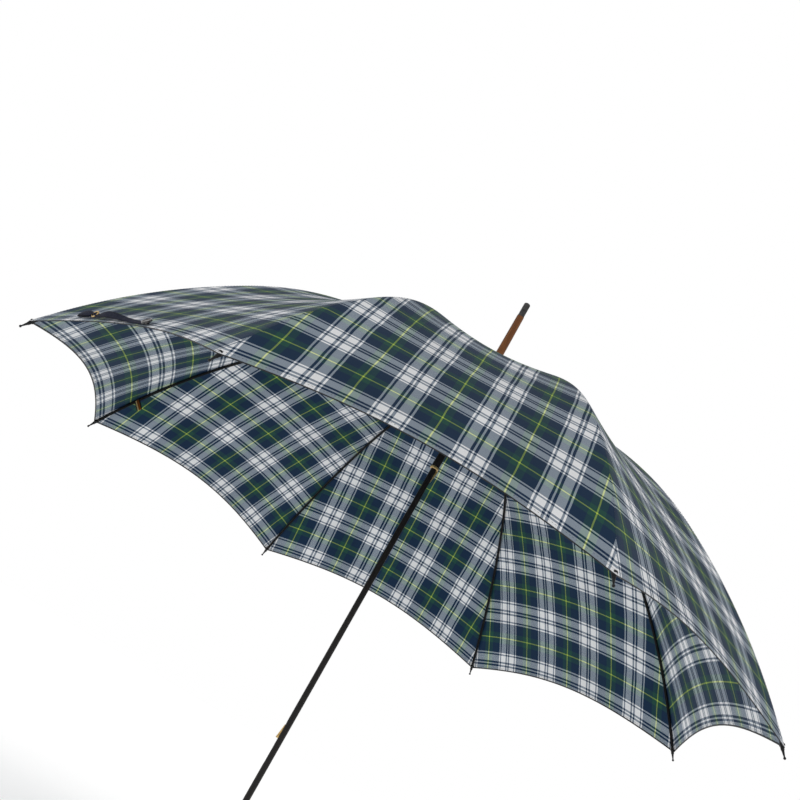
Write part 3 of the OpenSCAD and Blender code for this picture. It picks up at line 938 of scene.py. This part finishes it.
@dataclass
class ClosingStrap:
    """The strap that goes round the closed canopy, with its folded end, ring and button."""

    form: CanopyForm
    finishes: Finishes
    distance: float = 0.92599 * RIB_LENGTH
    lift: float = 0.0038
    button_at: float = 0.017
    button_radius: float = 0.006
    button_thick: float = 0.0022
    button_rise: float = 0.0035
    rim: float = 0.0013
    dish: float = 0.0007
    dish_share: float = 0.86
    shank_inset: float = 0.0034
    shank: float = 0.0022
    soft_edge: float = 0.00035
    ring_at: float = -0.0995
    ring_rise: float = 0.0027
    ring_tilt: float = 24.0
    ring_radius: float = 0.0046
    ring_wire: float = 0.00085

    def frame(self) -> Matrix:
        """Gives the strap's place: X down the cloth, Y along the hem and Z out of the cloth."""
        half = math.radians(self.form.half)
        radius, height = self.form.line(self.distance)
        slope = float(self.form.slope(self.distance))
        tilt = math.atan2(math.sin(slope), math.cos(slope) * math.cos(half))
        return (Matrix.Rotation(math.radians(rib_angle(8) - self.form.half), 4, "Z")
                @ Matrix.Translation((float(radius) * math.cos(half), 0, float(height)))
                @ Matrix.Rotation(tilt, 4, "Y") @ Matrix.Translation((0, 0, self.lift)))

    def placed(self, piece: bpy.types.Object) -> bpy.types.Object:
        """Moves a piece's mesh from the strap's own place to the umbrella's."""
        piece.data.transform(self.frame())
        piece.data.update()
        return piece

    def ribbon(self, name: str, stations: Sequence[tuple[float, float, float, float, float]],
               thick: float) -> bpy.types.Object:
        """Models a length of tape.

        Args:
            name: the piece's name.
            stations: rows of x, y, z, width and roll in degrees, in millimetres.
            thick: the tape's thickness in metres.

        Returns:
            The piece.
        """
        rows = np.array(stations, float)
        places = np.linspace(0, len(rows) - 1, 6 * len(rows))
        table = np.stack([np.interp(places, np.arange(len(rows)), rows[:, i]) for i in range(5)], -1)
        for _ in range(4):
            table[1:-1] = (table[:-2] + 2 * table[1:-1] + table[2:]) / 4
        path = table[:, :3] * MM
        roll = np.radians(table[:, 4])
        out = np.stack([np.sin(roll), np.zeros_like(roll), np.cos(roll)], -1)
        points, faces, weave = swept(path, out, table[:, 3] * MM, thick, 12)
        piece = mesh_piece(name, points, faces, self.finishes.tape, weave)
        Canopy.face_out(piece)
        smooth(piece, 50)
        return self.placed(piece)

    def ring(self) -> bpy.types.Object:
        """Models the brass ring, slightly flattened where it was closed."""
        select_none()
        bpy.ops.mesh.primitive_torus_add(major_radius=self.ring_radius, minor_radius=self.ring_wire,
                                         major_segments=48, minor_segments=14, location=(0, 0, 0))
        piece = bpy.context.active_object
        piece.name = piece.data.name = "strap_ring_brass"
        for vertex in piece.data.vertices:
            vertex.co.x *= 0.94
            vertex.co.z *= 1.08
        piece.data.transform(Matrix.Translation((0, self.ring_at, self.ring_rise))
                             @ Matrix.Rotation(math.radians(self.ring_tilt), 4, "Y"))
        piece.data.materials.append(self.finishes.brass)
        smooth(piece, 60)
        return self.placed(piece)

    @staticmethod
    def step_face(piece: bpy.types.Object, up: int, inset: float, rise: float, share: float) -> None:
        """Insets a disc's flat face and moves it up or down.

        Args:
            piece: the disc.
            up: 1 for its top face, -1 for its bottom face.
            inset: width of the rim that stays.
            rise: how far the inset face moves along Z.
            share: the moved face's size as a share of the inset one.
        """
        bpy.ops.object.mode_set(mode="EDIT")
        bpy.ops.mesh.select_all(action="DESELECT")
        bpy.ops.object.mode_set(mode="OBJECT")
        for face in piece.data.polygons:
            face.select = face.normal.z * up > 0.9
        bpy.ops.object.mode_set(mode="EDIT")
        bpy.ops.mesh.inset(thickness=inset, depth=0.0)
        bpy.ops.mesh.extrude_region_move(TRANSFORM_OT_translate={"value": (0, 0, rise)})
        if share != 1.0:
            bpy.ops.transform.resize(value=(share, share, 1))
        bpy.ops.object.mode_set(mode="OBJECT")

    def button(self) -> bpy.types.Object:
        """Models the dished button with its rim, from a disc that is inset, sunk and bevelled."""
        select_none()
        bpy.ops.mesh.primitive_cylinder_add(vertices=48, radius=self.button_radius,
                                            depth=self.button_thick, location=(0, 0, self.button_rise))
        piece = bpy.context.active_object
        piece.name = piece.data.name = "strap_button_horn"
        bpy.ops.object.transform_apply(location=True, rotation=True, scale=True)
        self.step_face(piece, 1, self.rim, -self.dish, self.dish_share)
        self.step_face(piece, -1, self.shank_inset, -self.shank, 1.0)
        modifier = piece.modifiers.new("edges", "BEVEL")
        modifier.width, modifier.segments, modifier.angle_limit = self.soft_edge, 3, math.radians(30)
        apply_modifiers(piece)
        piece.data.transform(Matrix.Translation((0, self.button_at, 0)))
        piece.data.materials.append(self.finishes.horn)
        smooth(piece, 40)
        return self.placed(piece)

    def build(self) -> None:
        """Models the strap's pieces and joins them to the rib."""
        band = self.ribbon("strap_band", [
            (0.0, -94.0, 1.6, 9, 8), (0.0, -86.0, 3.2, 10.5, 16), (0.3, -71.0, 5.0, 11, 22),
            (0.6, -53.0, 4.6, 10.5, 16), (0.4, -35.0, 2.6, 9.5, 6), (0.2, -19.0, 1.3, 8.5, 0),
            (0.0, -3.0, 0.8, 8, 0), (0.0, 12.0, 0.6, 7, 0)], 0.0012)
        fold = self.ribbon("strap_end", [
            (2.4, -129.0, 1.8, 12, 6), (2.2, -124.0, 2.3, 12.5, 10), (1.4, -115.0, 2.6, 12, 12),
            (0.8, -109.0, 2.3, 10, 10), (0.1, -105.4, 1.9, 7, 6)], 0.0027)
        link = self.ribbon("strap_link", [
            (0.0, -108.0, 1.8, 5.5, 6), (0.0, -103.5, 3.4, 5, 0), (0.0, -99.5, 4.2, 5, 0),
            (0.0, -96.0, 3.0, 6, 0), (0.0, -92.0, 1.8, 7.5, 8)], 0.0009)
        ring, button = self.ring(), self.button()
        for piece, slot in ((band, Slot.STRAP), (fold, Slot.STRAP), (link, Slot.STRAP), (ring, Slot.BRASS),
                            (button, Slot.BUTTON)):
            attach(piece, "rib_8")
        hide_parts("strap")
        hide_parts("strap_ring")
        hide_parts("strap_button")
        LOG.info("strap: band, folded end, link, ring and button")


@dataclass
class LabelTab:
    """The small striped loop of tape that hangs inside, beside a rib."""

    form: CanopyForm
    finishes: Finishes
    rib: int = 2
    distance: float = 0.866 * RIB_LENGTH
    wide: float = 8.0
    drop: float = 19.0
    aside: float = 2.4
    top: float = -1.2
    leg_gap: float = 0.5
    bend: float = 0.55
    bend_from: float = 0.3
    sway: float = 0.0006
    thick: float = 0.00045

    def build(self) -> None:
        """Models the loop and joins it to its rib."""
        centre, along, rise = self.form.rib_place(self.distance)
        gap, low = self.leg_gap, -self.drop + 0.8
        inner = [(self.aside - gap, z) for z in np.linspace(self.top, low, 12)]
        bend = [(self.aside - gap * math.cos(a), low - self.bend * math.sin(a))
                for a in np.linspace(self.bend_from, math.pi - self.bend_from, 7)]
        outer = [(self.aside + gap, z) for z in np.linspace(low, self.top, 12)]
        rows = np.array(inner + bend + outer) * MM
        sway = along * (self.sway * np.sin(np.linspace(0, 6, len(rows))))[:, None]
        path = centre + np.array([0, 1.0, 0]) * rows[:, :1] + rise * rows[:, 1:] + sway
        out = np.cross(along, unit(np.gradient(path, axis=0)))
        points, faces, weave = swept(path, out, self.wide * MM, self.thick, 10)
        weave[:, 0] = (centre - points) @ along
        piece = mesh_piece("label_loop", turned(points, rib_angle(self.rib)), faces, self.finishes.label,
                           weave)
        Canopy.face_out(piece)
        smooth(piece, 50)
        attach(piece, f"rib_{self.rib}")
        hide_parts("label_tab")
        LOG.info("label: one folded loop")


# ---------------------------------------------------------------- hard parts


@dataclass
class Crook:
    """The bent wooden handle, drawn out from a ring: down the grip, round the bend and up the short leg."""

    finishes: Finishes
    radius: float = 0.0105
    bend: float = 0.038
    bend_height: float = -0.044
    top: float = 0.048
    leg: float = 0.024
    around: int = 40
    grip_steps: int = 12
    bend_steps: int = 36
    leg_steps: int = 4
    end_steps: int = 8

    def build(self) -> None:
        """Models the handle and maps its grain."""
        select_none()
        bpy.ops.mesh.primitive_circle_add(vertices=self.around, radius=self.radius, fill_type="NGON",
                                          location=(0, 0, self.top))
        piece = bpy.context.active_object
        piece.name = piece.data.name = "crook_wood"
        bpy.ops.object.transform_apply(location=True, rotation=True, scale=True)
        bpy.ops.object.mode_set(mode="EDIT")
        bpy.ops.mesh.select_all(action="SELECT")
        for _ in range(self.grip_steps):
            self.draw_out((self.bend_height - self.top) / self.grip_steps)
        bpy.ops.mesh.spin(steps=self.bend_steps, angle=math.pi, center=(self.bend, 0, self.bend_height),
                          axis=(0, 1, 0))
        for _ in range(self.leg_steps):
            self.draw_out(self.leg / self.leg_steps)
        for i in range(1, self.end_steps):
            a, b = math.pi / 2 * (i - 1) / self.end_steps, math.pi / 2 * i / self.end_steps
            self.draw_out(self.radius * (math.sin(b) - math.sin(a)))
            share = math.cos(b) / math.cos(a)
            bpy.ops.transform.resize(value=(share, share, 1), center_override=(2 * self.bend, 0, 0))
        bpy.ops.mesh.select_all(action="SELECT")
        bpy.ops.mesh.remove_doubles(threshold=0.00001)
        bpy.ops.mesh.normals_make_consistent(inside=False)
        bpy.ops.object.mode_set(mode="OBJECT")
        self.map_grain(piece)
        piece.data.materials.append(self.finishes.handle_wood)
        smooth(piece, 40)
        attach(piece, "stick")
        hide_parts("crook")
        LOG.info("crook: %d faces", len(piece.data.polygons))

    @staticmethod
    def draw_out(rise: float) -> None:
        """Draws the selected end out along Z."""
        bpy.ops.mesh.extrude_region_move(TRANSFORM_OT_translate={"value": (0, 0, rise)})

    def map_grain(self, piece: bpy.types.Object) -> None:
        """Writes a map whose V runs along the handle and U round it, in metres."""
        mesh = piece.data
        layer = mesh.uv_layers.new(name="grain")
        for polygon in mesh.polygons:
            angles = []
            for loop in polygon.loop_indices:
                angles.append(self.along_and_round(mesh.vertices[mesh.loops[loop].vertex_index].co))
            base = angles[0][1]
            for loop, (run, turn) in zip(polygon.loop_indices, angles):
                turn += 2 * math.pi * round((base - turn) / (2 * math.pi))
                layer.data[loop].uv = (turn * self.radius, run)

    def along_and_round(self, point: Vector) -> tuple[float, float]:
        """Gives a point's distance along the handle and its angle round it."""
        if point.z >= self.bend_height and point.x < self.bend:
            return self.top - point.z, math.atan2(point.y, point.x)
        if point.z < self.bend_height:
            dx, dz = point.x - self.bend, point.z - self.bend_height
            sweep = math.atan2(-dz, -dx)
            return (self.top - self.bend_height + sweep * self.bend,
                    math.atan2(point.y, self.bend - math.hypot(dx, dz)))
        return (self.top - self.bend_height + math.pi * self.bend + point.z - self.bend_height,
                math.atan2(point.y, 2 * self.bend - point.x))


@dataclass
class Frame:
    """The hard parts that keep their engineered shape and take a new finish."""

    finishes: Finishes

    def plan(self) -> dict[str, Material]:
        """Gives the finish of each part."""
        f = self.finishes
        plan = {"shaft_tube": f.lacquer, "collar": f.brass, "spike": f.spike_wood, "ferrule": f.dark_metal,
                "crown_cap": f.dark_metal, "notch": f.brass, "notch_wire": f.wire, "stop_pin": f.brass,
                "hand_spring": f.brass, "top_spring": f.brass, "runner_sleeve": f.lacquer,
                "runner_crown": f.dark_metal, "runner_rim": f.brass, "runner_wire": f.wire}
        for k in RIBS:
            plan |= {f"rib_{k}": f.rib_paint, f"rib_tip_{k}": f.rib_paint, f"joint_pin_{k}": f.wire,
                     f"stretcher_{k}": f.rib_paint}
        return plan

    def dress(self) -> None:
        """Gives each part its finish."""
        plan = self.plan()
        for name, material in plan.items():
            for slot in frame["nodes"][name].material_slots:
                slot.material = material
        LOG.info("frame: %d parts dressed", len(plan))


# ---------------------------------------------------------------- studio


@dataclass
class Studio:
    """A pale floor, soft lights and the camera."""

    floor_gap: float = 0.0005
    floor_size: float = 60.0
    room_light: float = 0.72
    room_seen: float = 1.0
    camera_place: tuple[float, float, float] = (-0.50838, -1.37852, 0.14016)
    camera_right: tuple[float, float, float] = (0.77931, -0.39596, 0.48569)
    camera_up: tuple[float, float, float] = (-0.56221, -0.09948, 0.82099)
    camera_back: tuple[float, float, float] = (-0.27677, -0.91286, -0.30014)
    lens: float = 50.936

    def camera(self) -> None:
        """Places the camera."""
        data = bpy.data.cameras.new("camera")
        data.lens, data.sensor_width, data.sensor_fit = self.lens, 36.0, "HORIZONTAL"
        data.clip_start, data.clip_end = 0.01, 100.0
        camera = bpy.data.objects.new("camera", data)
        bpy.context.collection.objects.link(camera)
        turn = Matrix((self.camera_right, self.camera_up, self.camera_back)).transposed()
        camera.matrix_world = Matrix.Translation(self.camera_place) @ turn.to_4x4()
        bpy.context.scene.camera = camera

    def floor(self) -> None:
        """Lays the floor under the handle."""
        low = CAD_BOX[0][2] - self.floor_gap
        size = self.floor_size
        points = np.array([(-size, -size, low), (size, -size, low), (size, size, low), (-size, size, low)])
        piece = mesh_piece("floor", points, [(0, 1, 2, 3)], StudioPaper().make())

    def lamp(self, name: str, towards: Sequence[float], distance: float, size: float, power: float) -> None:
        """Hangs a soft square lamp that faces the canopy.

        Args:
            name: the lamp's name.
            towards: direction from the canopy to the lamp.
            distance: how far away it is.
            size: its side.
            power: its power in watts.
        """
        data = bpy.data.lights.new(name, "AREA")
        data.shape, data.size, data.energy = "SQUARE", size, power
        lamp = bpy.data.objects.new(name, data)
        bpy.context.collection.objects.link(lamp)
        way = Vector(towards).normalized()
        lamp.location = Vector((0, 0, 0.5)) + way * distance
        lamp.rotation_mode = "QUATERNION"
        lamp.rotation_quaternion = (-way).to_track_quat("-Z", "Y")

    def world(self) -> None:
        """Makes the room: white behind the object, a little dimmer as light."""
        world = bpy.data.worlds.new("room")
        bpy.context.scene.world = world
        world.use_nodes = True
        nodes, links = world.node_tree.nodes, world.node_tree.links
        nodes.clear()
        output = nodes.new("ShaderNodeOutputWorld")
        mix = nodes.new("ShaderNodeMixShader")
        seen = nodes.new("ShaderNodeLightPath")
        for strength, socket in ((self.room_light, 1), (self.room_seen, 2)):
            background = nodes.new("ShaderNodeBackground")
            background.inputs["Color"].default_value = (1, 1, 1, 1)
            background.inputs["Strength"].default_value = strength
            links.new(background.outputs[0], mix.inputs[socket])
        links.new(seen.outputs["Is Camera Ray"], mix.inputs[0])
        links.new(mix.outputs[0], output.inputs["Surface"])

    def build(self) -> None:
        """Makes the whole studio."""
        self.camera()
        self.floor()
        self.world()
        self.lamp("key", towards=(-0.75, -0.55, 0.75), distance=2.6, size=1.8, power=0.6)
        self.lamp("fill", towards=(0.4, -0.9, -0.1), distance=3.0, size=2.0, power=1.5)
        bpy.context.scene.view_settings.view_transform = "Standard"
        LOG.info("studio: camera, floor and two lamps")


def main() -> None:
    """Builds every sub-assembly in order."""
    logging.basicConfig(level=logging.INFO, format="%(name)s %(message)s")
    Studio().build()
    form, finishes = CanopyForm(), Finishes()
    for part in (Canopy(form, finishes), ClosingStrap(form, finishes), LabelTab(form, finishes),
                 Crook(finishes)):
        part.build()
    Frame(finishes).dress()


if __name__ == "__main__":
    main()
